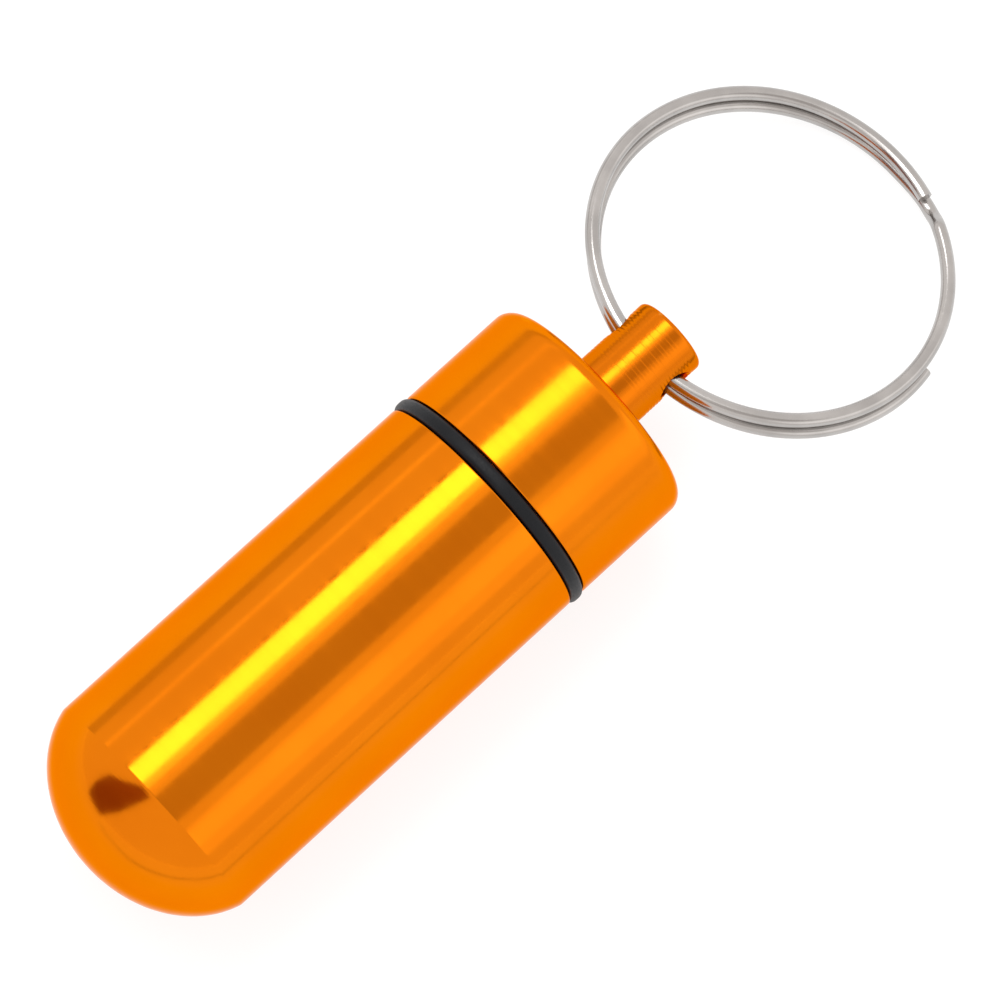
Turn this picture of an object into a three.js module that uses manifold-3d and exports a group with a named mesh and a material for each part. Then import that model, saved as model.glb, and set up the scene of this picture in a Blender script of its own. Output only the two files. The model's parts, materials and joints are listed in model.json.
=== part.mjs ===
// Key-ring pill capsule: an aluminium tube with a domed end, a screw cap with a hollow threaded
// boss and a drilled stem, an O-ring squeezed between them, and a two-turn split ring through
// the stem. Millimetres, +Z up. The capsule lies on its side: the dome points along -X, the cap
// and the ring along +X, and the split ring's far edge rests on the surface the capsule lies on.

import * as THREE from 'three';
import { mergeVertices } from 'three/addons/utils/BufferGeometryUtils.js';
import Module from 'manifold-3d';

const wasm = await Module();
wasm.setup();

// ---- Driving dimensions ----

// Tube
const BODY_DIAMETER = 17.0;
const TUBE_STRAIGHT = 29.0;
const DOME_HEIGHT = 5.65;
const DOME_OVERSIZE = 0.18;
const TUBE_WALL = 0.95;
const END_WALL = 1.97;
const DRILL_POINT_ANGLE = 118;
const MOUTH_CHAMFER = 0.2;

// Cap
const CAP_LENGTH = 9.1;
const CAP_TOP_ROUND = 1.15;
const CAP_FLANGE_CHAMFER = 0.15;
const CAP_CEILING = 2.6;
const BOSS_LENGTH = 7.0;
const BOSS_WALL = 1.8;
const BOSS_TIP_CHAMFER = 0.3;
const NECK_LENGTH = 0.6;
const STEM_DIAMETER = 5.55;
const STEM_LENGTH = 6.9;
const STEM_EDGE = 0.35;
const CROSS_HOLE_CLEARANCE = 0.165;
const CROSS_HOLE_TO_STEM_END = 2.4;

// Thread, right-handed
const THREAD_PITCH = 1.25;
const THREAD_DEPTH = 0.6;
const THREAD_CREST_WIDTH = 0.2;
const THREAD_FLANK_ANGLE = 30;
const THREAD_CLEARANCE = 0.2;
const THREAD_FLANK_CLEARANCE = 0.1;
const THREAD_RUNOUT_TURNS = 0.125;
const RELIEF_MARGIN = 0.05;

// O-ring, as squeezed between the tube's mouth and the cap's flange
const SEAL_GAP = 1.15;
const SEAL_PROUD = 0.15;
const SEAL_SIDE_CLEARANCE = 0.04;
const SEAL_NECK_CLEARANCE = 0.1;
const SEAL_FLATNESS = 0.6;

// Split ring: rectangular wire with eased corners, wound in two layers.
// Angles are in degrees. The lower layer bulges outwards beside the upper layer's end, then steps up.
const RING_OUTER_DIAMETER = 25.6;
const WIRE_WIDTH = 1.0;
const WIRE_THICKNESS = 0.88;
const WIRE_CORNER = 0.22;
const LAYER_GAP = 0.04;
const LAYER_OFFSET = 0.45;
const LOWER_LAYER_START = -77.5;
const STEP_START = -17.8;
const STEP_SPAN = 11;
const STEP_BULGE = 0.2;
const STEP_BULGE_SPAN = 17;
const UPPER_END_GAP = 0.8;
const FLOOR_CLEARANCE = 0.02;

// Fineness of the round surfaces
const FACETS = 48;
const DOME_STEPS = 8;
const ROUND_STEPS = 4;
const HOLE_FACETS = 24;
const SEAL_STEPS = 12;
const RING_STEP_ANGLE = 6;

// ---- Sizes that follow ----

const bodyRadius = BODY_DIAMETER / 2;
const stemRadius = STEM_DIAMETER / 2;

// Thread radii, from the tube's wall inwards: the cap's ridge keeps clear of the bottom of the
// groove, and the chamber is bored to the tube's crests, which keep clear of the cap's boss
const grooveRadius = bodyRadius - TUBE_WALL;
const ridgeRadius = grooveRadius - THREAD_CLEARANCE;
const bossRadius = ridgeRadius - THREAD_DEPTH;
const chamberRadius = bossRadius + THREAD_CLEARANCE;
const hollowRadius = bossRadius - BOSS_WALL;
const neckRadius = ridgeRadius;

// Places along the axis, from the edge where the dome meets the straight tube
const mouthX = TUBE_STRAIGHT;
const flangeX = mouthX + SEAL_GAP;
const capTopX = flangeX + CAP_LENGTH;
const stemEndX = capTopX + STEM_LENGTH;
const crossHoleX = stemEndX - CROSS_HOLE_TO_STEM_END;
const bossTipX = mouthX - BOSS_LENGTH;
const neckX = mouthX - NECK_LENGTH;
const drillPointX = END_WALL - DOME_HEIGHT;
const drillShoulderX = drillPointX
  + chamberRadius / Math.tan(THREE.MathUtils.degToRad(DRILL_POINT_ANGLE / 2));

// The cap's ridge takes the whole turns that fit between the boss's tip and its neck. The tube's
// ridge lies half a pitch further in, so the two interleave with a gap at each flank.
const flankSlope = Math.tan(THREE.MathUtils.degToRad(THREAD_FLANK_ANGLE));
const capRidgeHalfRoot = THREAD_CREST_WIDTH / 2 + THREAD_DEPTH * flankSlope;
const capRidgeStartX = bossTipX + BOSS_TIP_CHAMFER + RELIEF_MARGIN + capRidgeHalfRoot;
const ridgeTravel = neckX - RELIEF_MARGIN - capRidgeHalfRoot - capRidgeStartX;
const threadTurns = Math.floor(ridgeTravel / THREAD_PITCH);
const sharedFlank = (ridgeRadius - chamberRadius) * flankSlope;
const tubeCrestWidth = THREAD_PITCH - THREAD_CREST_WIDTH - 2 * (sharedFlank + THREAD_FLANK_CLEARANCE);
const tubeRidgeHalfRoot = tubeCrestWidth / 2 + (grooveRadius - chamberRadius) * flankSlope;
const capRidge = {
  surface: bossRadius,
  crest: ridgeRadius,
  crestWidth: THREAD_CREST_WIDTH,
  startX: capRidgeStartX,
  turns: threadTurns,
};
const tubeRidge = {
  surface: grooveRadius,
  crest: chamberRadius,
  crestWidth: tubeCrestWidth,
  startX: capRidgeStartX - THREAD_PITCH / 2,
  turns: threadTurns,
};

const sealRadius = bodyRadius + SEAL_PROUD;
const sealInnerRadius = neckRadius + SEAL_NECK_CLEARANCE;

const ringMeanRadius = (RING_OUTER_DIAMETER - WIRE_WIDTH) / 2;
const layerHeight = (WIRE_THICKNESS + LAYER_GAP) / 2;
const ringHalfThickness = layerHeight + WIRE_THICKNESS / 2;

// The wire bows through the straight cross hole, so the ring is centred on the middle of that
// bow, and the hole clears both layers and half of the bow on either side
const bow = stemRadius ** 2 / (2 * ringMeanRadius);
const hingeToCentre = ringMeanRadius - bow / 2;
const crossHoleRadius = Math.hypot((WIRE_WIDTH + bow) / 2, ringHalfThickness) + CROSS_HOLE_CLEARANCE;

// ---- Solids ----

/** A closed mesh as a solid that can be joined and cut. */
function toSolid(geometry) {
  const bare = geometry.clone();
  bare.deleteAttribute('normal');
  bare.deleteAttribute('uv');
  const merged = mergeVertices(bare, 1e-5);
  return new wasm.Manifold(new wasm.Mesh({
    numProp: 3,
    vertProperties: new Float32Array(merged.attributes.position.array),
    triVerts: new Uint32Array(merged.index.array),
  }));
}

/** A solid as a mesh geometry with flat-shaded normals. */
function toGeometry(solid) {
  const mesh = solid.getMesh();
  const geometry = new THREE.BufferGeometry();
  geometry.setAttribute('position', new THREE.BufferAttribute(mesh.vertProperties, 3));
  geometry.setIndex(new THREE.BufferAttribute(mesh.triVerts, 1));
  geometry.computeVertexNormals();
  return geometry;
}

/** Turns a profile of [radius, x] points about the X axis, with a flat facet at the bottom. */
function turned(profile, facets = FACETS) {
  const points = profile.map(([radius, x]) => new THREE.Vector2(radius, x));
  const geometry = new THREE.LatheGeometry(points, facets);
  geometry.rotateZ(-Math.PI / 2);
  geometry.rotateX(Math.PI / facets);
  return geometry;
}

/** Points of an arc in the profile plane, from one angle to another in degrees. */
function arc(centreRadius, centreX, radius, fromDegrees, toDegrees, steps) {
  return Array.from({ length: steps + 1 }, (_, i) => {
    const angle = THREE.MathUtils.degToRad(THREE.MathUtils.lerp(fromDegrees, toDegrees, i / steps));
    return [centreRadius + radius * Math.cos(angle), centreX + radius * Math.sin(angle)];
  });
}

/** A closed body through a list of sections, each a list of points in the same order. */
function skinned(sections) {
  const size = sections[0].length;
  const positions = sections.flat().flatMap((point) => [point.x, point.y, point.z]);
  const indices = [];
  for (let i = 0; i + 1 < sections.length; i += 1) {
    for (let j = 0; j < size; j += 1) {
      const a = i * size + j;
      const b = i * size + ((j + 1) % size);
      indices.push(a, b, b + size, a, b + size, a + size);
    }
  }
  const last = (sections.length - 1) * size;
  for (let j = 1; j + 1 < size; j += 1) {
    indices.push(0, j + 1, j);
    indices.push(last, last + j, last + j + 1);
  }
  const geometry = new THREE.BufferGeometry();
  geometry.setAttribute('position', new THREE.Float32BufferAttribute(positions, 3));
  geometry.setIndex(indices);
  return geometry;
}

/**
 * Corners of a helical ridge where one radial plane cuts it, four to a turn, as [radius, x].
 * Its flanks slope from the surface it stands on to a narrow crest, and it fades out at its ends.
 */
function ridgeCorners({ surface, crest, crestWidth, startX, turns }, station) {
  const halfRoot = crestWidth / 2 + Math.abs(crest - surface) * flankSlope;
  return Array.from({ length: turns }, (_, turn) => {
    const travel = turn + station / FACETS;
    const rise = Math.min(1, travel / THREAD_RUNOUT_TURNS, (turns - travel) / THREAD_RUNOUT_TURNS);
    const top = THREE.MathUtils.lerp(surface, crest, rise);
    const halfTop = halfRoot - Math.abs(top - surface) * flankSlope;
    const centre = startX + travel * THREAD_PITCH;
    return [
      [surface, centre - halfRoot],
      [top, centre - halfTop],
      [top, centre + halfTop],
      [surface, centre + halfRoot],
    ];
  }).flat();
}

/**
 * A turned body with a helical ridge between two stretches of its profile. At the seam each turn
 * of the ridge joins the next one, and the turn left over at each end closes onto the profile.
 */
function turnedWithThread(before, ridge, after) {
  const inward = ridge.crest < ridge.surface;
  const stations = Array.from({ length: FACETS }, (_, station) => {
    const corners = ridgeCorners(ridge, station);
    return [...before, ...(inward ? corners.reverse() : corners), ...after];
  });
  const size = stations[0].length;
  const straight = Array.from({ length: size }, (_, i) => [i, i]);
  const seam = seamPairs(before.length, 4 * ridge.turns, size, inward);
  const positions = stations.flatMap((profile, station) => {
    const angle = ((station + 0.5) / FACETS) * 2 * Math.PI;
    return profile.flatMap(([radius, x]) => [x, radius * Math.cos(angle), radius * Math.sin(angle)]);
  });
  const indices = [];
  for (let station = 0; station < FACETS; station += 1) {
    const left = station * size;
    const right = ((station + 1) % FACETS) * size;
    const pairs = station + 1 < FACETS ? straight : seam;
    for (let i = 0; i + 1 < pairs.length; i += 1) {
      const [leftNow, rightNow] = pairs[i];
      const [leftNext, rightNext] = pairs[i + 1];
      if (rightNow !== rightNext) indices.push(left + leftNow, right + rightNow, right + rightNext);
      if (leftNow !== leftNext) indices.push(left + leftNow, right + rightNext, left + leftNext);
    }
  }
  const geometry = new THREE.BufferGeometry();
  geometry.setAttribute('position', new THREE.Float32BufferAttribute(positions, 3));
  geometry.setIndex(indices);
  return geometry;
}

/** Which profile points face each other across the seam, where the ridge moves on by a turn. */
function seamPairs(first, corners, size, reversed) {
  const last = first + corners - 1;
  const pairs = [];
  for (let i = 0; i < first; i += 1) pairs.push([i, i]);
  for (let i = 0; i < 4; i += 1) pairs.push([first - 1, first + i]);
  for (let i = first; i + 4 <= last; i += 1) pairs.push([i, i + 4]);
  for (let i = last - 3; i <= last; i += 1) pairs.push([i, last + 1]);
  for (let i = last + 1; i < size; i += 1) pairs.push([i, i]);
  return reversed ? pairs.map(([left, right]) => [right, left]) : pairs;
}

// ---- Sub-parts ----

/** Outside of the dome: part of an ellipse a little wider than the tube, so its edge stays crisp. */
function domeProfile() {
  const semiRadial = bodyRadius + DOME_OVERSIZE;
  const edgeAngle = Math.asin(bodyRadius / semiRadial);
  const semiAxial = DOME_HEIGHT / (1 - Math.cos(edgeAngle));
  const centreX = semiAxial * Math.cos(edgeAngle);
  return Array.from({ length: DOME_STEPS + 1 }, (_, i) => {
    const angle = (edgeAngle * i) / DOME_STEPS;
    return [semiRadial * Math.sin(angle), centreX - semiAxial * Math.cos(angle)];
  });
}

/** Tube: domed end, drilled chamber, and an internal thread between two reliefs at the mouth. */
function makeTube() {
  const reliefX = tubeRidge.startX - tubeRidgeHalfRoot - RELIEF_MARGIN;
  return toGeometry(toSolid(turnedWithThread(
    [
      ...domeProfile(),
      [bodyRadius, mouthX - MOUTH_CHAMFER],
      [bodyRadius - MOUTH_CHAMFER, mouthX],
      [grooveRadius, mouthX],
    ],
    tubeRidge,
    [
      [grooveRadius, reliefX],
      [chamberRadius, reliefX - (grooveRadius - chamberRadius)],
      [chamberRadius, drillShoulderX],
      [0, drillPointX],
    ],
  )));
}

/** Cap: flange, hollow threaded boss and drilled stem, turned from one bar. */
function makeCap() {
  const blank = toSolid(turnedWithThread(
    [
      [0, capTopX - CAP_CEILING],
      [hollowRadius, capTopX - CAP_CEILING],
      [hollowRadius, bossTipX],
      [bossRadius - BOSS_TIP_CHAMFER, bossTipX],
      [bossRadius, bossTipX + BOSS_TIP_CHAMFER],
    ],
    capRidge,
    [
      [bossRadius, neckX],
      [neckRadius, neckX + (neckRadius - bossRadius)],
      [neckRadius, flangeX],
      [bodyRadius - CAP_FLANGE_CHAMFER, flangeX],
      [bodyRadius, flangeX + CAP_FLANGE_CHAMFER],
      ...arc(bodyRadius - CAP_TOP_ROUND, capTopX - CAP_TOP_ROUND, CAP_TOP_ROUND, 0, 90, ROUND_STEPS),
      [stemRadius, capTopX],
      ...arc(stemRadius - STEM_EDGE, stemEndX - STEM_EDGE, STEM_EDGE, 0, 90, ROUND_STEPS),
      [0, stemEndX],
    ],
  ));
  const drillLength = 2 * STEM_DIAMETER;
  const drill = new THREE.CylinderGeometry(crossHoleRadius, crossHoleRadius, drillLength, HOLE_FACETS);
  drill.translate(crossHoleX, 0, 0);
  return toGeometry(blank.subtract(toSolid(drill)));
}

/** O-ring: a round cord pressed flat at its sides, seated on the cap's neck. */
function makeSeal() {
  const halfWidth = SEAL_GAP / 2 - SEAL_SIDE_CLEARANCE;
  const halfDepth = (sealRadius - sealInnerRadius) / 2;
  const centreX = mouthX + SEAL_GAP / 2;
  const squeeze = (value) => Math.sign(value) * Math.abs(value) ** SEAL_FLATNESS;
  const section = Array.from({ length: SEAL_STEPS + 1 }, (_, i) => {
    const angle = ((i % SEAL_STEPS) / SEAL_STEPS) * 2 * Math.PI;
    const radius = sealInnerRadius + halfDepth + halfDepth * squeeze(Math.cos(angle));
    return [radius, centreX + halfWidth * squeeze(Math.sin(angle))];
  });
  return toGeometry(toSolid(turned(section)));
}

/** Section of the split ring's wire: a rectangle with its corners cut, as [outward, up] pairs. */
function wireSection() {
  const halfWidth = WIRE_WIDTH / 2;
  const halfThickness = WIRE_THICKNESS / 2;
  return [
    [halfWidth, -halfThickness + WIRE_CORNER],
    [halfWidth, halfThickness - WIRE_CORNER],
    [halfWidth - WIRE_CORNER, halfThickness],
    [WIRE_CORNER - halfWidth, halfThickness],
    [-halfWidth, halfThickness - WIRE_CORNER],
    [-halfWidth, WIRE_CORNER - halfThickness],
    [WIRE_CORNER - halfWidth, -halfThickness],
    [halfWidth - WIRE_CORNER, -halfThickness],
  ];
}

/** Split ring in its own plane: the lower layer, the step between the layers, the upper layer. */
function makeSplitRing() {
  const lowerSpan = 360 + LOWER_LAYER_START - STEP_START;
  const upperSpan = 360 - STEP_SPAN - UPPER_END_GAP;
  const total = lowerSpan + STEP_SPAN + upperSpan;
  const steps = Math.ceil(total / RING_STEP_ANGLE);
  const stops = Array.from({ length: steps + 1 }, (_, i) => (total * i) / steps);
  stops.push(lowerSpan, lowerSpan + STEP_SPAN);
  stops.sort((a, b) => a - b);
  const sections = stops.map((travel) => {
    const risen = THREE.MathUtils.smoothstep(travel, lowerSpan, lowerSpan + STEP_SPAN);
    const rise = risen * 2 - 1;
    const bulging = THREE.MathUtils.smoothstep(travel, lowerSpan - STEP_BULGE_SPAN, lowerSpan) - risen;
    const radius = ringMeanRadius + STEP_BULGE * bulging;
    const angle = THREE.MathUtils.degToRad(LOWER_LAYER_START - travel);
    return wireSection().map(([out, up]) => new THREE.Vector3(
      (radius + out) * Math.cos(angle),
      (radius + out) * Math.sin(angle) - (1 - risen) * LAYER_OFFSET,
      rise * layerHeight + up,
    ));
  });
  return toGeometry(toSolid(skinned(sections)));
}

// ---- Assembly ----

function named(name, geometry, color, roughness, metalness) {
  const material = new THREE.MeshStandardMaterial({ color, roughness, metalness });
  const mesh = new THREE.Mesh(geometry, material);
  mesh.name = name;
  return mesh;
}

/** How far the split ring droops until its far edge reaches the surface under the capsule. */
function ringDroop() {
  const drop = sealRadius * Math.cos(Math.PI / FACETS) - FLOOR_CLEARANCE;
  const reach = hingeToCentre + RING_OUTER_DIAMETER / 2;
  return Math.asin(drop / Math.hypot(reach, ringHalfThickness)) - Math.atan2(ringHalfThickness, reach);
}

const ORANGE_ANODISED = 0xf08a12;
const BLACK_RUBBER = 0x1e2028;
const NICKEL_PLATED = 0xbeb4af;

const capsule = new THREE.Group();
capsule.add(named('tube', makeTube(), ORANGE_ANODISED, 0.32, 0.9));
capsule.add(named('cap', makeCap(), ORANGE_ANODISED, 0.32, 0.9));
capsule.add(named('o_ring', makeSeal(), BLACK_RUBBER, 0.6, 0));

const droop = ringDroop();
const splitRing = named('split_ring', makeSplitRing(), NICKEL_PLATED, 0.2, 1);
splitRing.rotation.y = droop;
splitRing.position.set(
  crossHoleX + hingeToCentre * Math.cos(droop),
  0,
  -hingeToCentre * Math.sin(droop),
);
capsule.add(splitRing);

// The origin is under the capsule's axis, midway along the object, on the surface it lies on
const bounds = new THREE.Box3().setFromObject(capsule, true);
const middle = bounds.getCenter(new THREE.Vector3());
capsule.position.set(-middle.x, 0, -bounds.min.z);

export default capsule;
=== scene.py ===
"""Key-ring pill capsule: a turned tube, its screw cap, the O-ring and the split ring.

Sizes are in metres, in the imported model's frame: +X runs along the capsule from the dome to the
cap, +Z is up.
"""

import json
import math

import bpy
from mathutils import Matrix, Vector


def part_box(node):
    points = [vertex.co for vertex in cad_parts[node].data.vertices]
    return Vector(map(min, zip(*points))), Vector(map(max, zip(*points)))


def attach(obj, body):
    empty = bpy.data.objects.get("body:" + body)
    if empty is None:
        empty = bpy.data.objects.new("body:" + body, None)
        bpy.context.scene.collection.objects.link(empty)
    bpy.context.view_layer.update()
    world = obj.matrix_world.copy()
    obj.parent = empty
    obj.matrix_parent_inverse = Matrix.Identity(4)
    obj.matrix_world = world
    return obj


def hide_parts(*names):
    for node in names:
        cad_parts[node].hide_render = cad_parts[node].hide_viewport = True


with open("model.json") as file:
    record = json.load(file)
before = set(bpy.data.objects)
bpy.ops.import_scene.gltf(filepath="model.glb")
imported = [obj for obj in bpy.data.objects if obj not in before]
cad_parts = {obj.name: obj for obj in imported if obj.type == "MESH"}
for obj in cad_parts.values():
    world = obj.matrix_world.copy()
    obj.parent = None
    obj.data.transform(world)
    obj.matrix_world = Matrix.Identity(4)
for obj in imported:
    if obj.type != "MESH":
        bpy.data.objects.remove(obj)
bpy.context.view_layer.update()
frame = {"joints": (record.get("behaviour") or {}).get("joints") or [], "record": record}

MM = 0.001

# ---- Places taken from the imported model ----

CAD_FACETS = 48
joints = {joint["name"]: joint for joint in frame["joints"]}
mounts = {mount["name"]: mount for mount in frame["record"]["mounts"]}
tube_low, tube_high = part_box("tube")
cap_low, cap_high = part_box("cap")
seal_low, seal_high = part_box("o_ring")

AXIS_Z = joints["cap_unscrew"]["pos_m"][2]
BODY_R = (tube_high.z - tube_low.z) / 2 / math.cos(math.pi / CAD_FACETS)
SEAL_R = (seal_high.z - seal_low.z) / 2 / math.cos(math.pi / CAD_FACETS)
TIP_X = tube_low.x
MOUTH_X = tube_high.x
BOSS_TIP_X = cap_low.x
STEM_END_X = cap_high.x
SEAL_X = (seal_low.x + seal_high.x) / 2
HOLE_X = joints["ring_swing"]["pos_m"][0]
RING_CENTRE = Vector(mounts["key_loop"]["pos_m"])
RING_NORMAL = Vector(mounts["key_loop"]["axis"])

# ---- Sizes of the pieces ----

DOME_HEIGHT = 5.65 * MM
DOME_OVERSIZE = 0.18 * MM
DOME_EDGE_BLEND = 0.06 * MM
EDGE_X = TIP_X + DOME_HEIGHT
SMALL_ROUND = 0.15 * MM

THREAD_PITCH = 1.25 * MM
THREAD_TURNS = 4
THREAD_DEPTH = 0.6 * MM
THREAD_CLEARANCE = 0.2 * MM
THREAD_FLANK = math.tan(math.radians(30))
THREAD_SINK = 0.15 * MM
THREAD_STEPS = 88
CAP_CREST_WIDTH = 0.2 * MM
TUBE_CREST_WIDTH = 0.388 * MM
CHAMBER_R = 6.95 * MM
DRILL_HALF_ANGLE = math.radians(59)
BOSS_R = CHAMBER_R - THREAD_CLEARANCE
RIDGE_R = BOSS_R + THREAD_DEPTH
GROOVE_R = RIDGE_R + THREAD_CLEARANCE
CAP_THREAD_X = BOSS_TIP_X + 0.8 * MM
TUBE_THREAD_X = CAP_THREAD_X - THREAD_PITCH / 2
RELIEF_X = TUBE_THREAD_X - TUBE_CREST_WIDTH / 2 - THREAD_DEPTH * THREAD_FLANK - 0.05 * MM

FLANGE_X = MOUTH_X + 1.15 * MM
NECK_X = MOUTH_X - 0.6 * MM
CAP_TOP_X = STEM_END_X - 6.9 * MM
CAP_TOP_ROUND = 1.15 * MM
CAP_CEILING_X = CAP_TOP_X - 2.6 * MM
HOLLOW_R = BOSS_R - 1.8 * MM
BOSS_CHAMFER = 0.3 * MM
STEM_R = 2.775 * MM
STEM_EDGE = 0.35 * MM
STEM_RINGS_X = CAP_TOP_X + 1.9 * MM
STEM_RING_PITCH = 0.27 * MM
STEM_RING_DEPTH = 0.024 * MM
STEM_RING_STEPS = 6
HOLE_R = 1.28 * MM
HOLE_FLARE = 0.22 * MM
HOLE_FLARE_START = 0.35 * MM
HOLE_FLARE_STEP = 0.1 * MM
HOLE_FLARE_STEPS = 5
HOLE_SEGMENTS = 100

SEAL_NECK_GAP = 0.1 * MM
SEAL_SQUEEZE = 0.7
SEAL_STEPS = 40

RING_MEAN_R = 12.3 * MM
WIRE_WIDTH = 1.0 * MM
WIRE_THICKNESS = 0.88 * MM
WIRE_ROUND = 0.42 * MM
LAYER_HEIGHT = 0.46 * MM
LAYER_OFFSET = 0.45 * MM
RING_START = -77.5
RING_STEP_START = -17.8
RING_STEP_SPAN = 11
RING_BULGE = 0.2 * MM
RING_BULGE_SPAN = 17
RING_END_GAP = 0.8

SEGMENTS = 160
SLIVER = 0.001 * MM

# ---- Modelling ----


def arc(centre_x, centre_r, radius, start, stop, steps):
    """Points (x, r) on an arc, with angles in degrees from the outward direction towards +X."""
    angles = [math.radians(start + (stop - start) * i / steps) for i in range(steps + 1)]
    return [(centre_x + radius * math.sin(a), centre_r + radius * math.cos(a)) for a in angles]


def held(points, reach=0.05 * MM):
    """The same outline with a point close to each end of long runs, so that edges stay crisp."""
    outline = [points[0]]
    for (x0, r0), (x1, r1) in zip(points, points[1:]):
        length = math.hypot(x1 - x0, r1 - r0)
        if length > 8 * reach:
            step = reach / length
            outline.append((x0 + (x1 - x0) * step, r0 + (r1 - r0) * step))
            outline.append((x1 - (x1 - x0) * step, r1 - (r1 - r0) * step))
        outline.append((x1, r1))
    return outline


def select_only(piece):
    bpy.ops.object.select_all(action="DESELECT")
    piece.select_set(True)
    bpy.context.view_layer.objects.active = piece


def merge_and_face_outwards():
    bpy.ops.mesh.select_all(action="SELECT")
    bpy.ops.mesh.remove_doubles(threshold=1e-6)
    bpy.ops.mesh.normals_make_consistent(inside=False)


def draw_outline(name, points, closed=False):
    """A line of edges through (x, r) points above the axis, drawn out from a plane's centre."""
    bpy.ops.object.select_all(action="DESELECT")
    x, r = points[0]
    bpy.ops.mesh.primitive_plane_add(size=MM, location=(x, 0, AXIS_Z + r))
    piece = bpy.context.object
    piece.name = name
    bpy.ops.object.transform_apply(location=True)
    bpy.ops.object.mode_set(mode="EDIT")
    bpy.ops.mesh.merge(type="CENTER")
    for next_x, next_r in points[1:]:
        shift = {"value": (next_x - x, 0, next_r - r)}
        bpy.ops.mesh.extrude_vertices_move(TRANSFORM_OT_translate=shift)
        x, r = next_x, next_r
    if closed:
        bpy.ops.mesh.select_all(action="SELECT")
        bpy.ops.mesh.remove_doubles(threshold=1e-7)
    bpy.ops.object.mode_set(mode="OBJECT")
    return piece


def turn(name, points, closed=False):
    """A body turned about the capsule's axis."""
    piece = draw_outline(name, points, closed)
    bpy.ops.object.mode_set(mode="EDIT")
    bpy.ops.mesh.select_all(action="SELECT")
    bpy.ops.mesh.spin(steps=SEGMENTS, angle=2 * math.pi, center=(0, 0, AXIS_Z), axis=(1, 0, 0))
    merge_and_face_outwards()
    bpy.ops.object.mode_set(mode="OBJECT")
    return piece


def combine(piece, other, operation):
    """Joins or cuts with another solid, which is used up."""
    select_only(piece)
    modifier = piece.modifiers.new(operation.lower(), "BOOLEAN")
    modifier.operation = operation
    modifier.solver = "EXACT"
    modifier.object = other
    bpy.ops.object.modifier_apply(modifier=modifier.name)
    bpy.data.objects.remove(other)
    bpy.ops.object.mode_set(mode="EDIT")
    bpy.ops.mesh.select_all(action="SELECT")
    bpy.ops.mesh.remove_doubles(threshold=SLIVER)
    bpy.ops.mesh.dissolve_degenerate(threshold=SLIVER)
    bpy.ops.object.mode_set(mode="OBJECT")


def smooth(piece, degrees=32):
    select_only(piece)
    bpy.ops.object.shade_smooth_by_angle(angle=math.radians(degrees))


def thread_ridge(name, surface_r, crest_r, crest_width, start_x):
    """The helical ridge of a thread. Its root is sunk into the surface that it stands on."""
    root_r = surface_r - math.copysign(THREAD_SINK, crest_r - surface_r)
    half_crest = crest_width / 2
    half_root = half_crest + abs(crest_r - root_r) * THREAD_FLANK
    section = [
        (start_x - half_root, root_r),
        (start_x - half_crest, crest_r),
        (start_x + half_crest, crest_r),
        (start_x + half_root, root_r),
        (start_x - half_root, root_r),
    ]
    piece = draw_outline(name, section, closed=True)
    bpy.context.scene.cursor.location = (0, 0, AXIS_Z)
    bpy.ops.object.origin_set(type="ORIGIN_CURSOR")
    helix = piece.modifiers.new("helix", "SCREW")
    helix.axis = "X"
    helix.screw_offset = THREAD_PITCH
    helix.iterations = THREAD_TURNS
    helix.steps = THREAD_STEPS
    helix.render_steps = THREAD_STEPS
    bpy.ops.object.modifier_apply(modifier=helix.name)
    bpy.ops.object.transform_apply(location=True)
    bpy.context.scene.cursor.location = (0, 0, 0)
    bpy.ops.object.mode_set(mode="EDIT")
    bpy.ops.mesh.select_all(action="SELECT")
    bpy.ops.mesh.fill_holes(sides=4)
    merge_and_face_outwards()
    bpy.ops.object.mode_set(mode="OBJECT")
    return piece


# ---- Pieces ----


def dome_outline(steps=44):
    """From the tip to the crisp edge: part of an ellipse a little wider than the tube."""
    semi_r = BODY_R + DOME_OVERSIZE
    edge_angle = math.asin(BODY_R / semi_r)
    semi_x = DOME_HEIGHT / (1 - math.cos(edge_angle))
    centre_x = TIP_X + semi_x
    angles = [edge_angle * i / steps for i in range(steps + 1)]
    points = [(centre_x - semi_x * math.cos(a), semi_r * math.sin(a)) for a in angles]
    blend_x, blend_r = points[-1]
    slope = (semi_r * math.cos(edge_angle)) / (semi_x * math.sin(edge_angle))
    before = (blend_x - DOME_EDGE_BLEND, blend_r - DOME_EDGE_BLEND * slope)
    middle = (blend_x, blend_r - DOME_EDGE_BLEND * slope / 4)
    after = (blend_x + DOME_EDGE_BLEND, blend_r)
    return points[:-1] + [before, middle, after]


def tube():
    floor_x = EDGE_X + 0.5 * MM
    drill_point_x = floor_x - CHAMBER_R / math.tan(DRILL_HALF_ANGLE)
    outline = dome_outline() + arc(
        MOUTH_X - SMALL_ROUND, BODY_R - SMALL_ROUND, SMALL_ROUND, 0, 90, 4
    ) + [
        (MOUTH_X, GROOVE_R),
        (RELIEF_X, GROOVE_R),
        (RELIEF_X - (GROOVE_R - CHAMBER_R), CHAMBER_R),
        (floor_x, CHAMBER_R),
        (drill_point_x, 0),
    ]
    piece = turn("turned_tube", held(outline))
    thread = thread_ridge("tube_thread", GROOVE_R, CHAMBER_R, TUBE_CREST_WIDTH, TUBE_THREAD_X)
    combine(piece, thread, "UNION")
    smooth(piece)
    return piece


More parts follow.
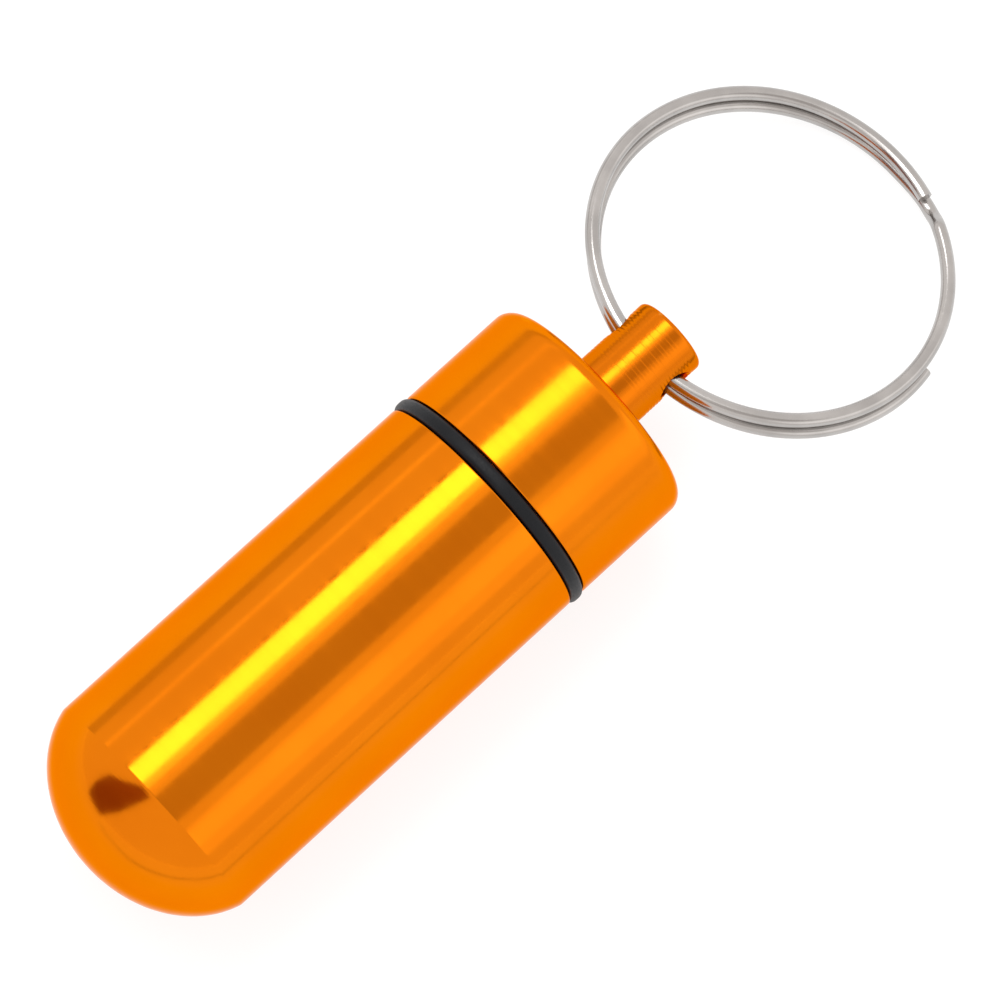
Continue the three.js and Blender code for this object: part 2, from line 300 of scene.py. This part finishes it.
def stem_outline():
    """The stem's side, with fine rings of uneven depth that the turning tool left on it."""
    rings_end_x = STEM_END_X - STEM_EDGE - 0.1 * MM
    count = int((rings_end_x - STEM_RINGS_X) / STEM_RING_PITCH)
    points = arc(CAP_TOP_X + SMALL_ROUND, STEM_R + SMALL_ROUND, SMALL_ROUND, 270, 180, 4)
    for ring in range(count):
        depth = STEM_RING_DEPTH * (0.75 + 0.25 * math.sin(2.3 * ring))
        for step in range(STEM_RING_STEPS):
            share = step / STEM_RING_STEPS
            cut = depth * (0.5 - 0.5 * math.cos(2 * math.pi * share))
            points.append((STEM_RINGS_X + (ring + share) * STEM_RING_PITCH, STEM_R - cut))
    return points + arc(STEM_END_X - STEM_EDGE, STEM_R - STEM_EDGE, STEM_EDGE, 0, 90, 6)


def cross_hole_cutter():
    """A cylinder across the stem, flared at both mouths."""
    straight = STEM_R - HOLE_FLARE_START
    bpy.ops.object.select_all(action="DESELECT")
    bpy.ops.mesh.primitive_cylinder_add(
        vertices=HOLE_SEGMENTS,
        radius=HOLE_R,
        depth=2 * straight,
        location=(HOLE_X, 0, AXIS_Z),
        rotation=(math.pi / 2, 0, 0),
    )
    cutter = bpy.context.object
    bpy.ops.object.transform_apply(location=True, rotation=True)
    for side in (-1, 1):
        bpy.ops.object.mode_set(mode="EDIT")
        bpy.ops.mesh.select_all(action="DESELECT")
        bpy.ops.object.mode_set(mode="OBJECT")
        for face in cutter.data.polygons:
            face.select = face.normal.y * side > 0.9
        bpy.ops.object.mode_set(mode="EDIT")
        radius = HOLE_R
        for step in range(1, HOLE_FLARE_STEPS + 1):
            grown = HOLE_R + HOLE_FLARE * (1 - math.cos(step / HOLE_FLARE_STEPS * math.pi / 3)) * 2
            bpy.ops.mesh.extrude_region_move(
                TRANSFORM_OT_translate={"value": (0, side * HOLE_FLARE_STEP, 0)}
            )
            ratio = grown / radius
            bpy.ops.transform.resize(
                value=(ratio, 1, ratio), center_override=(HOLE_X, side * straight, AXIS_Z)
            )
            radius = grown
        bpy.ops.object.mode_set(mode="OBJECT")
    return cutter


def cap():
    outline = [
        (CAP_CEILING_X, 0),
        *arc(CAP_CEILING_X - SMALL_ROUND, HOLLOW_R - SMALL_ROUND, SMALL_ROUND, 90, 0, 4),
        (BOSS_TIP_X, HOLLOW_R),
        (BOSS_TIP_X, BOSS_R - BOSS_CHAMFER),
        (BOSS_TIP_X + BOSS_CHAMFER, BOSS_R),
        (NECK_X, BOSS_R),
        (NECK_X + THREAD_DEPTH, RIDGE_R),
        (FLANGE_X, RIDGE_R),
        *arc(FLANGE_X + SMALL_ROUND, BODY_R - SMALL_ROUND, SMALL_ROUND, -90, 0, 4),
        *arc(CAP_TOP_X - CAP_TOP_ROUND, BODY_R - CAP_TOP_ROUND, CAP_TOP_ROUND, 0, 90, 14),
        *stem_outline(),
        (STEM_END_X, 0),
    ]
    piece = turn("turned_cap", held(outline))
    thread = thread_ridge("cap_thread", BOSS_R, RIDGE_R, CAP_CREST_WIDTH, CAP_THREAD_X)
    combine(piece, thread, "UNION")
    combine(piece, cross_hole_cutter(), "DIFFERENCE")
    smooth(piece)
    return piece


def o_ring():
    """A round rubber cord pressed flat at both sides."""
    inner_r = RIDGE_R + SEAL_NECK_GAP
    half_depth = (SEAL_R - inner_r) / 2
    half_width = (seal_high.x - seal_low.x) / 2
    outline = []
    for step in range(SEAL_STEPS + 1):
        angle = 2 * math.pi * (step % SEAL_STEPS) / SEAL_STEPS
        out = math.copysign(abs(math.cos(angle)) ** SEAL_SQUEEZE, math.cos(angle))
        along = math.copysign(abs(math.sin(angle)) ** SEAL_SQUEEZE, math.sin(angle))
        outline.append((SEAL_X + half_width * along, inner_r + half_depth * (1 + out)))
    piece = turn("rubber_o_ring", outline, closed=True)
    smooth(piece, 60)
    return piece


def wound_wire(name):
    """The split ring lying flat at the origin: lower layer, step up, upper layer."""
    bpy.ops.object.select_all(action="DESELECT")
    bpy.ops.mesh.primitive_plane_add(size=1, location=(0, 0, 0), rotation=(math.pi / 2, 0, 0))
    piece = bpy.context.object
    piece.name = name
    piece.scale = (WIRE_WIDTH, WIRE_THICKNESS, 1)
    bpy.ops.object.transform_apply(rotation=True, scale=True)
    bpy.ops.object.mode_set(mode="EDIT")
    bpy.ops.mesh.bevel(offset=WIRE_ROUND, segments=6, affect="VERTICES")
    bpy.ops.object.mode_set(mode="OBJECT")
    start = math.radians(RING_START)
    piece.location = (
        RING_MEAN_R * math.cos(start),
        RING_MEAN_R * math.sin(start) - LAYER_OFFSET / 2,
        -LAYER_HEIGHT,
    )
    piece.rotation_euler = (0, 0, start)
    bpy.ops.object.transform_apply(location=True, rotation=True)
    bpy.ops.object.mode_set(mode="EDIT")
    bpy.ops.mesh.select_all(action="SELECT")
    lower_span = 360 + RING_START - RING_STEP_START - RING_BULGE_SPAN
    wind(lower_span, 142, -LAYER_OFFSET / 2)
    angle = wind_bulge(RING_START - lower_span)
    wind_step(angle)
    wind(360 - RING_STEP_SPAN - RING_END_GAP, 174, LAYER_OFFSET / 2)
    bpy.ops.mesh.select_all(action="SELECT")
    bpy.ops.mesh.normals_make_consistent(inside=False)
    bpy.ops.object.mode_set(mode="OBJECT")
    return piece


def ease(share):
    return share * share * (3 - 2 * share)


def wind_bulge(angle, steps=12):
    """Winds the last of the lower layer, which bends outwards to pass the upper layer's end."""
    pushed = 0
    for step in range(1, steps + 1):
        wind(RING_BULGE_SPAN / steps, 1, -LAYER_OFFSET / 2)
        angle -= RING_BULGE_SPAN / steps
        push = RING_BULGE * ease(step / steps) - pushed
        shift_section(angle, push, 0, 0)
        pushed += push
    return angle


def wind_step(angle, steps=16):
    """Winds the step between the layers, up and back in line."""
    risen = 0
    for step in range(1, steps + 1):
        wind(RING_STEP_SPAN / steps, 1, (risen - 0.5) * LAYER_OFFSET)
        angle -= RING_STEP_SPAN / steps
        move = ease(step / steps) - risen
        shift_section(angle, -move * RING_BULGE, move * LAYER_OFFSET, move * 2 * LAYER_HEIGHT)
        risen += move


def shift_section(angle, out, across, up):
    radians = math.radians(angle)
    shift = (out * math.cos(radians), out * math.sin(radians) + across, up)
    bpy.ops.transform.translate(value=shift)


def wind(degrees, steps, centre_y):
    """Carries the wire's selected section clockwise about the ring's centre."""
    bpy.ops.mesh.spin(
        steps=steps, angle=math.radians(degrees), center=(0, centre_y, 0), axis=(0, 0, 1)
    )


def split_ring():
    piece = wound_wire("wound_split_ring")
    droop = math.atan2(RING_NORMAL.x, RING_NORMAL.z)
    piece.rotation_euler = (0, droop, 0)
    piece.location = RING_CENTRE
    bpy.ops.object.transform_apply(location=True, rotation=True)
    smooth(piece, 40)
    return piece


# ---- Materials ----


def new_material(name):
    material = bpy.data.materials.new(name)
    material.use_nodes = True
    return material, material.node_tree.nodes, material.node_tree.links


def new_group(name, inputs, outputs):
    """A shader node group with number inputs, given as (name, value), and number outputs."""
    group = bpy.data.node_groups.new(name, "ShaderNodeTree")
    for label, value in inputs:
        socket = group.interface.new_socket(label, in_out="INPUT", socket_type="NodeSocketFloat")
        socket.default_value = value
    for label in outputs:
        group.interface.new_socket(label, in_out="OUTPUT", socket_type="NodeSocketFloat")
    nodes = group.nodes
    return group, nodes, group.links, nodes.new("NodeGroupInput"), nodes.new("NodeGroupOutput")


def math_node(nodes, links, operation, first, second=None):
    """A Math node whose inputs are sockets or numbers. Returns its output."""
    node = nodes.new("ShaderNodeMath")
    node.operation = operation
    for socket, value in zip(node.inputs, (first, second)):
        if isinstance(value, (int, float)):
            socket.default_value = value
        elif value is not None:
            links.new(value, socket)
    return node.outputs[0]


def noise(nodes, links, vector, scale, detail):
    node = nodes.new("ShaderNodeTexNoise")
    node.inputs["Scale"].default_value = scale
    node.inputs["Detail"].default_value = detail
    links.new(vector, node.inputs["Vector"])
    return node.outputs["Fac"]


def remap(nodes, links, value, low, high, to_low, to_high):
    node = nodes.new("ShaderNodeMapRange")
    labels = ("From Min", "From Max", "To Min", "To Max")
    for label, number in zip(labels, (low, high, to_low, to_high)):
        node.inputs[label].default_value = number
    links.new(value, node.inputs["Value"])
    return node.outputs["Result"]


def turning_marks_group():
    """Fine rings that a lathe tool leaves around the axis, on the sides, faces and dome alike."""
    group, nodes, links, given, result = new_group(
        "turning_marks", [("Marks per mm", 12)], ["Height", "Streaks"]
    )
    place = nodes.new("ShaderNodeTexCoord").outputs["Object"]
    split = nodes.new("ShaderNodeSeparateXYZ")
    links.new(place, split.inputs[0])
    up = math_node(nodes, links, "SUBTRACT", split.outputs["Z"], AXIS_Z)
    out = math_node(
        nodes, links, "SQRT",
        math_node(
            nodes, links, "ADD",
            math_node(nodes, links, "MULTIPLY", split.outputs["Y"], split.outputs["Y"]),
            math_node(nodes, links, "MULTIPLY", up, up),
        ),
    )
    rings = nodes.new("ShaderNodeCombineXYZ")
    links.new(split.outputs["X"], rings.inputs["X"])
    links.new(out, rings.inputs["Y"])
    scaled = nodes.new("ShaderNodeVectorMath")
    scaled.operation = "SCALE"
    links.new(rings.outputs[0], scaled.inputs[0])
    links.new(math_node(nodes, links, "MULTIPLY", given.outputs[0], 1 / MM), scaled.inputs["Scale"])
    links.new(noise(nodes, links, scaled.outputs[0], 1, 3), result.inputs["Height"])
    links.new(noise(nodes, links, scaled.outputs[0], 0.13, 2), result.inputs["Streaks"])
    return group


def edge_highlight_and_patches_group():
    """Masks for a painted highlight on sharp outer edges, and for faint patches left by handling.
    """
    group, nodes, links, given, result = new_group(
        "edge_highlight_and_patches", [("Edge reach", 0.5), ("Patch size", 1)], ["Edges", "Patches"]
    )
    place = nodes.new("ShaderNodeTexCoord").outputs["Object"]
    sharpness = nodes.new("ShaderNodeNewGeometry").outputs["Pointiness"]
    # Sharp convex edges, found by pointiness, are the mask of a painted highlight.
    edges = remap(nodes, links, sharpness, 0.53, 0.62, 0, 1)
    broken = remap(nodes, links, noise(nodes, links, place, 1100, 4), 0.42, 0.62, 0, 1)
    brightened = math_node(nodes, links, "MULTIPLY", edges, broken)
    brightened = math_node(nodes, links, "MULTIPLY", brightened, given.outputs["Edge reach"])
    links.new(brightened, result.inputs["Edges"])
    stretched = nodes.new("ShaderNodeVectorMath")
    stretched.operation = "SCALE"
    links.new(place, stretched.inputs[0])
    links.new(given.outputs["Patch size"], stretched.inputs["Scale"])
    patches = noise(nodes, links, stretched.outputs[0], 160, 5)
    links.new(remap(nodes, links, patches, 0.35, 0.65, 0, 1), result.inputs["Patches"])
    return group


turning_marks = turning_marks_group()
edge_highlight_and_patches = edge_highlight_and_patches_group()


def place_group(nodes, group, **values):
    node = nodes.new("ShaderNodeGroup")
    node.node_tree = group
    for label, value in values.items():
        node.inputs[label.replace("_", " ")].default_value = value
    return node


def mix_colour(nodes, links, mask, first, second):
    """Two colours mixed by a mask. Each is a socket or three numbers."""
    node = nodes.new("ShaderNodeMix")
    node.data_type = "RGBA"
    links.new(mask, node.inputs["Factor"])
    for socket, value in ((node.inputs[6], first), (node.inputs[7], second)):
        if isinstance(value, tuple):
            socket.default_value = (*value, 1)
        else:
            links.new(value, socket)
    return node.outputs[2]


def bump(nodes, links, height, strength, distance):
    node = nodes.new("ShaderNodeBump")
    node.inputs["Strength"].default_value = strength
    node.inputs["Distance"].default_value = distance
    links.new(height, node.inputs["Height"])
    return node.outputs["Normal"]


def orange_anodised(name, roughness, mark_depth):
    """Turned aluminium, anodised orange: lathe rings, faint patches, a painted highlight on the
    edges, and a stem painted darker as painted shade.
    """
    material, nodes, links = new_material(name)
    shader = nodes["Principled BSDF"]
    shader.inputs["Metallic"].default_value = 1
    shader.inputs["Specular Tint"].default_value = (1, 0.62, 0.34, 1)
    marks = place_group(nodes, turning_marks, Marks_per_mm=9)
    highlight_and_patches = place_group(nodes, edge_highlight_and_patches, Edge_reach=0.35, Patch_size=1)
    patches = highlight_and_patches.outputs["Patches"]
    skin = mix_colour(nodes, links, patches, (0.81, 0.205, 0.0045), (0.78, 0.19, 0.004))
    split = nodes.new("ShaderNodeSeparateXYZ")
    links.new(nodes.new("ShaderNodeTexCoord").outputs["Object"], split.inputs[0])
    stem_start, stem_full = CAP_TOP_X - SMALL_ROUND, CAP_TOP_X + SMALL_ROUND
    on_stem = remap(nodes, links, split.outputs["X"], stem_start, stem_full, 0, 1)
    # The stem's colour is darker: painted shade for its duller reflections.
    skin = mix_colour(nodes, links, on_stem, skin, (0.70, 0.165, 0.004))
    # Sharp edges are painted paler: a painted highlight.
    skin = mix_colour(nodes, links, highlight_and_patches.outputs["Edges"], skin, (0.86, 0.36, 0.06))
    links.new(skin, shader.inputs["Base Color"])
    streaks = marks.outputs["Streaks"]
    gloss = remap(nodes, links, streaks, 0.3, 0.7, roughness * 0.8, roughness * 1.25)
    coarser = math_node(nodes, links, "MULTIPLY", on_stem, 0.03)
    haze = math_node(nodes, links, "MULTIPLY", patches, 0.02)
    gloss = math_node(nodes, links, "ADD", gloss, coarser)
    links.new(math_node(nodes, links, "ADD", gloss, haze), shader.inputs["Roughness"])
    normal = bump(nodes, links, marks.outputs["Height"], mark_depth, 0.01 * MM)
    links.new(normal, shader.inputs["Normal"])
    return material


def black_rubber():
    """Moulded rubber: a fine matt grain, and a little dust where it has been rubbed."""
    material, nodes, links = new_material("black_rubber")
    shader = nodes["Principled BSDF"]
    shader.inputs["Specular IOR Level"].default_value = 0.2
    highlight_and_patches = place_group(nodes, edge_highlight_and_patches, Edge_reach=0, Patch_size=3)
    place = nodes.new("ShaderNodeTexCoord").outputs["Object"]
    patches = highlight_and_patches.outputs["Patches"]
    dusty = mix_colour(nodes, links, patches, (0.004, 0.005, 0.007), (0.007, 0.008, 0.010))
    links.new(dusty, shader.inputs["Base Color"])
    grain = noise(nodes, links, place, 9000, 3)
    links.new(remap(nodes, links, grain, 0.3, 0.7, 0.38, 0.55), shader.inputs["Roughness"])
    links.new(bump(nodes, links, grain, 0.25, 0.02 * MM), shader.inputs["Normal"])
    return material


def nickel_plate():
    """Nickel-plated spring wire: drawing lines along the wire, duller patches, and a painted
    highlight on the edges.
    """
    material, nodes, links = new_material("nickel_plate")
    shader = nodes["Principled BSDF"]
    shader.inputs["Metallic"].default_value = 1
    highlight_and_patches = place_group(nodes, edge_highlight_and_patches, Edge_reach=0.4, Patch_size=2)
    patches = highlight_and_patches.outputs["Patches"]
    plate = mix_colour(nodes, links, patches, (0.50, 0.484, 0.472), (0.41, 0.396, 0.386))
    # Sharp edges are painted paler: a painted highlight.
    plate = mix_colour(nodes, links, highlight_and_patches.outputs["Edges"], plate, (0.58, 0.56, 0.54))
    links.new(plate, shader.inputs["Base Color"])
    place = nodes.new("ShaderNodeMapping")
    place.vector_type = "TEXTURE"
    place.inputs["Location"].default_value = RING_CENTRE
    place.inputs["Rotation"].default_value = (0, math.atan2(RING_NORMAL.x, RING_NORMAL.z), 0)
    links.new(nodes.new("ShaderNodeTexCoord").outputs["Object"], place.inputs["Vector"])
    split = nodes.new("ShaderNodeSeparateXYZ")
    links.new(place.outputs[0], split.inputs[0])
    out = math_node(
        nodes, links, "SQRT",
        math_node(
            nodes, links, "ADD",
            math_node(nodes, links, "MULTIPLY", split.outputs["X"], split.outputs["X"]),
            math_node(nodes, links, "MULTIPLY", split.outputs["Y"], split.outputs["Y"]),
        ),
    )
    drawn = nodes.new("ShaderNodeCombineXYZ")
    links.new(out, drawn.inputs["X"])
    links.new(split.outputs["Z"], drawn.inputs["Y"])
    lines = noise(nodes, links, drawn.outputs[0], 16000, 2)
    links.new(remap(nodes, links, lines, 0.3, 0.7, 0.12, 0.26), shader.inputs["Roughness"])
    links.new(bump(nodes, links, lines, 0.35, 0.008 * MM), shader.inputs["Normal"])
    return material


def finish_piece(piece, node, body, material):
    piece.data.materials.clear()
    piece.data.materials.append(material)
    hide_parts(node)
    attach(piece, body)


tube_skin = orange_anodised("tube_anodised", 0.13, 0.25)
cap_skin = orange_anodised("cap_anodised", 0.17, 0.35)
finish_piece(tube(), "tube", "tube_body", tube_skin)
finish_piece(cap(), "cap", "cap_body", cap_skin)
finish_piece(o_ring(), "o_ring", "seal", black_rubber())
finish_piece(split_ring(), "split_ring", "key_ring", nickel_plate())

# ---- Floor, lights and camera ----

CAMERA_AZIMUTH = -43.13
CAMERA_ELEVATION = 76.76
CAMERA_DISTANCE = 0.34305
CAMERA_TARGET = Vector((-0.802 * MM, -0.478 * MM, AXIS_Z))
CAMERA_LENS = 189.3
PANEL_DISTANCE = 0.56
TENT = 0.6
TENT_GLOW = 0.42
BACK_GAP_GLOW = 0.15
# Name, degrees from overhead towards +Y, degrees from there towards +X, radiance.
PANELS = (
    ("key_strip", (11, 29), (-14, 32), 4.4),
    ("key_edge", (4, 11), (-14, 32), 1.5),
    ("key_fade", (-5, 4), (-14, 32), 0.55),
    ("open_top", (-40, -5), (-14, 32), 0.06),
    ("thin_strip", (57, 61.5), (-12, 40), 0.3),
    ("front_glow", (-76, -42), (-12, 60), 0.25),
    ("front_core", (-64, -46), (-12, 60), 0.2),
)
# A sheet seen only in reflections, which paints a dark reflection on the dome.
DARK_REFLECTION_REACH = 0.5
# Directions from the capsule's middle.
DARK_REFLECTION_CORNERS = (
    (-0.87, 0.49, -0.01),
    (-0.94, 0.26, -0.01),
    (-0.90, 0.14, 0.33),
    (-0.55, -0.03, 0.84),
    (-0.50, 0.14, 0.87),
    (-0.66, 0.42, 0.63),
    (-0.69, 0.54, 0.49),
    (-0.80, 0.55, 0.22),
)
# A thin line on the floor seen only in reflections: the painted reflection of a shadow's edge.
SHADOW_LINE_WIDTH = 0.009
# Points (x, y) on the floor.
SHADOW_LINE_POINTS = (
    (-0.125, 0.024),
    (-0.096, 0.001),
    (-0.079, -0.013),
    (-0.076, -0.028),
    (-0.068, -0.045),
    (-0.050, -0.054),
    (-0.025, -0.060),
    (0.000, -0.066),
    (0.022, -0.080),
)


def floor():
    """A white sheet, lit from below as well so that shadows on it stay faint."""
    bpy.ops.object.select_all(action="DESELECT")
    bpy.ops.mesh.primitive_plane_add(size=3, location=(0, 0, 0))
    sheet = bpy.context.object
    sheet.name = "white_floor"
    material, nodes, links = new_material("white_floor")
    shader = nodes["Principled BSDF"]
    shader.inputs["Base Color"].default_value = (0.25, 0.25, 0.25, 1)
    shader.inputs["Roughness"].default_value = 1
    shader.inputs["Specular IOR Level"].default_value = 0
    shader.inputs["Emission Color"].default_value = (1, 1, 1, 1)
    shader.inputs["Emission Strength"].default_value = 0.8
    sheet.data.materials.append(material)


def soft_light(name, centre, across, away, size, radiance):
    """A rectangular light that shines against the direction away, with its width along across."""
    data = bpy.data.lights.new(name, "AREA")
    data.shape = "RECTANGLE"
    data.size, data.size_y = size
    data.energy = radiance * math.pi * size[0] * size[1]
    lamp = bpy.data.objects.new(name, data)
    turned = Matrix((across, away.cross(across), away)).transposed()
    lamp.matrix_world = Matrix.Translation(centre) @ turned.to_4x4()
    lamp.visible_camera = False
    bpy.context.collection.objects.link(lamp)


def panel(name, across, along, radiance):
    """A soft light that the capsule sees between two angles across it and two along it."""
    middle_across = math.radians(sum(across) / 2)
    middle_along = math.radians(sum(along) / 2)
    away = Vector((
        math.sin(middle_along),
        math.sin(middle_across) * math.cos(middle_along),
        math.cos(middle_across) * math.cos(middle_along),
    ))
    side = Vector((0, math.cos(middle_across), -math.sin(middle_across)))
    width, length = (
        2 * PANEL_DISTANCE * math.tan(math.radians(high - low) / 2) for low, high in (across, along)
    )
    soft_light(name, away * PANEL_DISTANCE, side, away, (width, length), radiance)


def wall(name, low, high, radiance=TENT_GLOW):
    """A glowing wall of the tent between two corners. One of its three sizes is nothing."""
    low, high = Vector(low), Vector(high)
    size = high - low
    flat = min(range(3), key=lambda axis: size[axis])
    first, second = [axis for axis in range(3) if axis != flat]
    away = Vector((0, 0, 0))
    away[flat] = math.copysign(1, (low + high)[flat])
    across = Vector((0, 0, 0))
    across[first] = 1
    soft_light(name, (low + high) / 2, across, away, (size[first], size[second]), radiance)


def reflected_sheet(name, corners, shade, glow):
    """A flat sheet of one colour that shows only in the polished surfaces."""
    bpy.ops.object.select_all(action="DESELECT")
    bpy.ops.mesh.primitive_circle_add(
        vertices=len(corners), radius=1, fill_type="NGON", location=(0, 0, 0)
    )
    sheet = bpy.context.object
    sheet.name = name
    for vertex, corner in zip(sheet.data.vertices, corners):
        vertex.co = corner
    sheet.visible_camera = False
    sheet.visible_diffuse = False
    sheet.visible_shadow = False
    material, nodes, links = new_material(name)
    shader = nodes["Principled BSDF"]
    shader.inputs["Base Color"].default_value = (*shade, 1)
    shader.inputs["Specular IOR Level"].default_value = 0
    shader.inputs["Emission Color"].default_value = (1, 1, 1, 1)
    shader.inputs["Emission Strength"].default_value = glow
    sheet.data.materials.append(material)


def painted_dark_reflection():
    """A dark sheet at the dome's end of the tent, seen only in reflections: a painted dark
    reflection on the dome.
    """
    middle = Vector((0, 0, AXIS_Z))
    corners = [Vector(corner) * DARK_REFLECTION_REACH + middle for corner in DARK_REFLECTION_CORNERS]
    reflected_sheet("painted_dark_reflection", corners, (0.24, 0.11, 0.1), 0)


def reflected_shadow_line():
    """A faint dark line round the capsule's front, seen only in reflections: a painted reflection
    of a shadow's edge on the floor.
    """
    near = [Vector((x, y, 0.2 * MM)) for x, y in SHADOW_LINE_POINTS]
    far = [point + point.normalized() * SHADOW_LINE_WIDTH for point in reversed(near)]
    reflected_sheet("reflected_shadow_line", near + far, (0.15, 0.15, 0.15), 0.48)


def light_tent():
    """A white box tent, open at the top, where a strip lamp hangs."""
    world = bpy.data.worlds.new("light_tent")
    world.use_nodes = True
    world.node_tree.nodes["Background"].inputs["Color"].default_value = (1, 0.93, 0.88, 1)
    world.node_tree.nodes["Background"].inputs["Strength"].default_value = 0.62
    bpy.context.scene.world = world
    open_left, open_right, open_depth = -0.22, 0.36, 0.39
    gap_left, gap_top = -0.15, 0.13
    wall("left_wall", (-TENT, -TENT, 0), (-TENT, TENT, TENT))
    wall("right_wall", (TENT, -TENT, 0), (TENT, TENT, TENT))
    wall("front_wall", (-TENT, -TENT, 0), (TENT, -TENT, TENT))
    wall("back_wall", (-TENT, TENT, gap_top), (TENT, TENT, TENT))
    wall("back_wall_foot", (-TENT, TENT, 0), (gap_left, TENT, gap_top))
    wall("back_gap", (gap_left, TENT, 0), (TENT, TENT, gap_top), BACK_GAP_GLOW)
    wall("top_left", (-TENT, -TENT, TENT), (open_left, TENT, TENT))
    wall("top_right", (open_right, -TENT, TENT), (TENT, TENT, TENT))
    wall("top_front", (open_left, -TENT, TENT), (open_right, -open_depth, TENT))
    wall("top_back", (open_left, open_depth, TENT), (open_right, TENT, TENT))
    for name, across, along, radiance in PANELS:
        panel(name, across, along, radiance)


def camera():
    azimuth = math.radians(CAMERA_AZIMUTH)
    elevation = math.radians(CAMERA_ELEVATION)
    back = Vector((
        math.sin(azimuth) * math.cos(elevation),
        -math.cos(azimuth) * math.cos(elevation),
        math.sin(elevation),
    ))
    right = Vector((math.cos(azimuth), math.sin(azimuth), 0))
    up = back.cross(right)
    data = bpy.data.cameras.new("camera")
    data.sensor_width = 36
    data.lens = CAMERA_LENS
    data.clip_start = 0.01
    viewer = bpy.data.objects.new("camera", data)
    turned = Matrix((right, up, back)).transposed()
    place = Matrix.Translation(CAMERA_TARGET + back * CAMERA_DISTANCE)
    viewer.matrix_world = place @ turned.to_4x4()
    bpy.context.collection.objects.link(viewer)
    bpy.context.scene.camera = viewer


floor()
light_tent()
painted_dark_reflection()
reflected_shadow_line()
camera()
bpy.context.scene.view_settings.view_transform = "Standard"
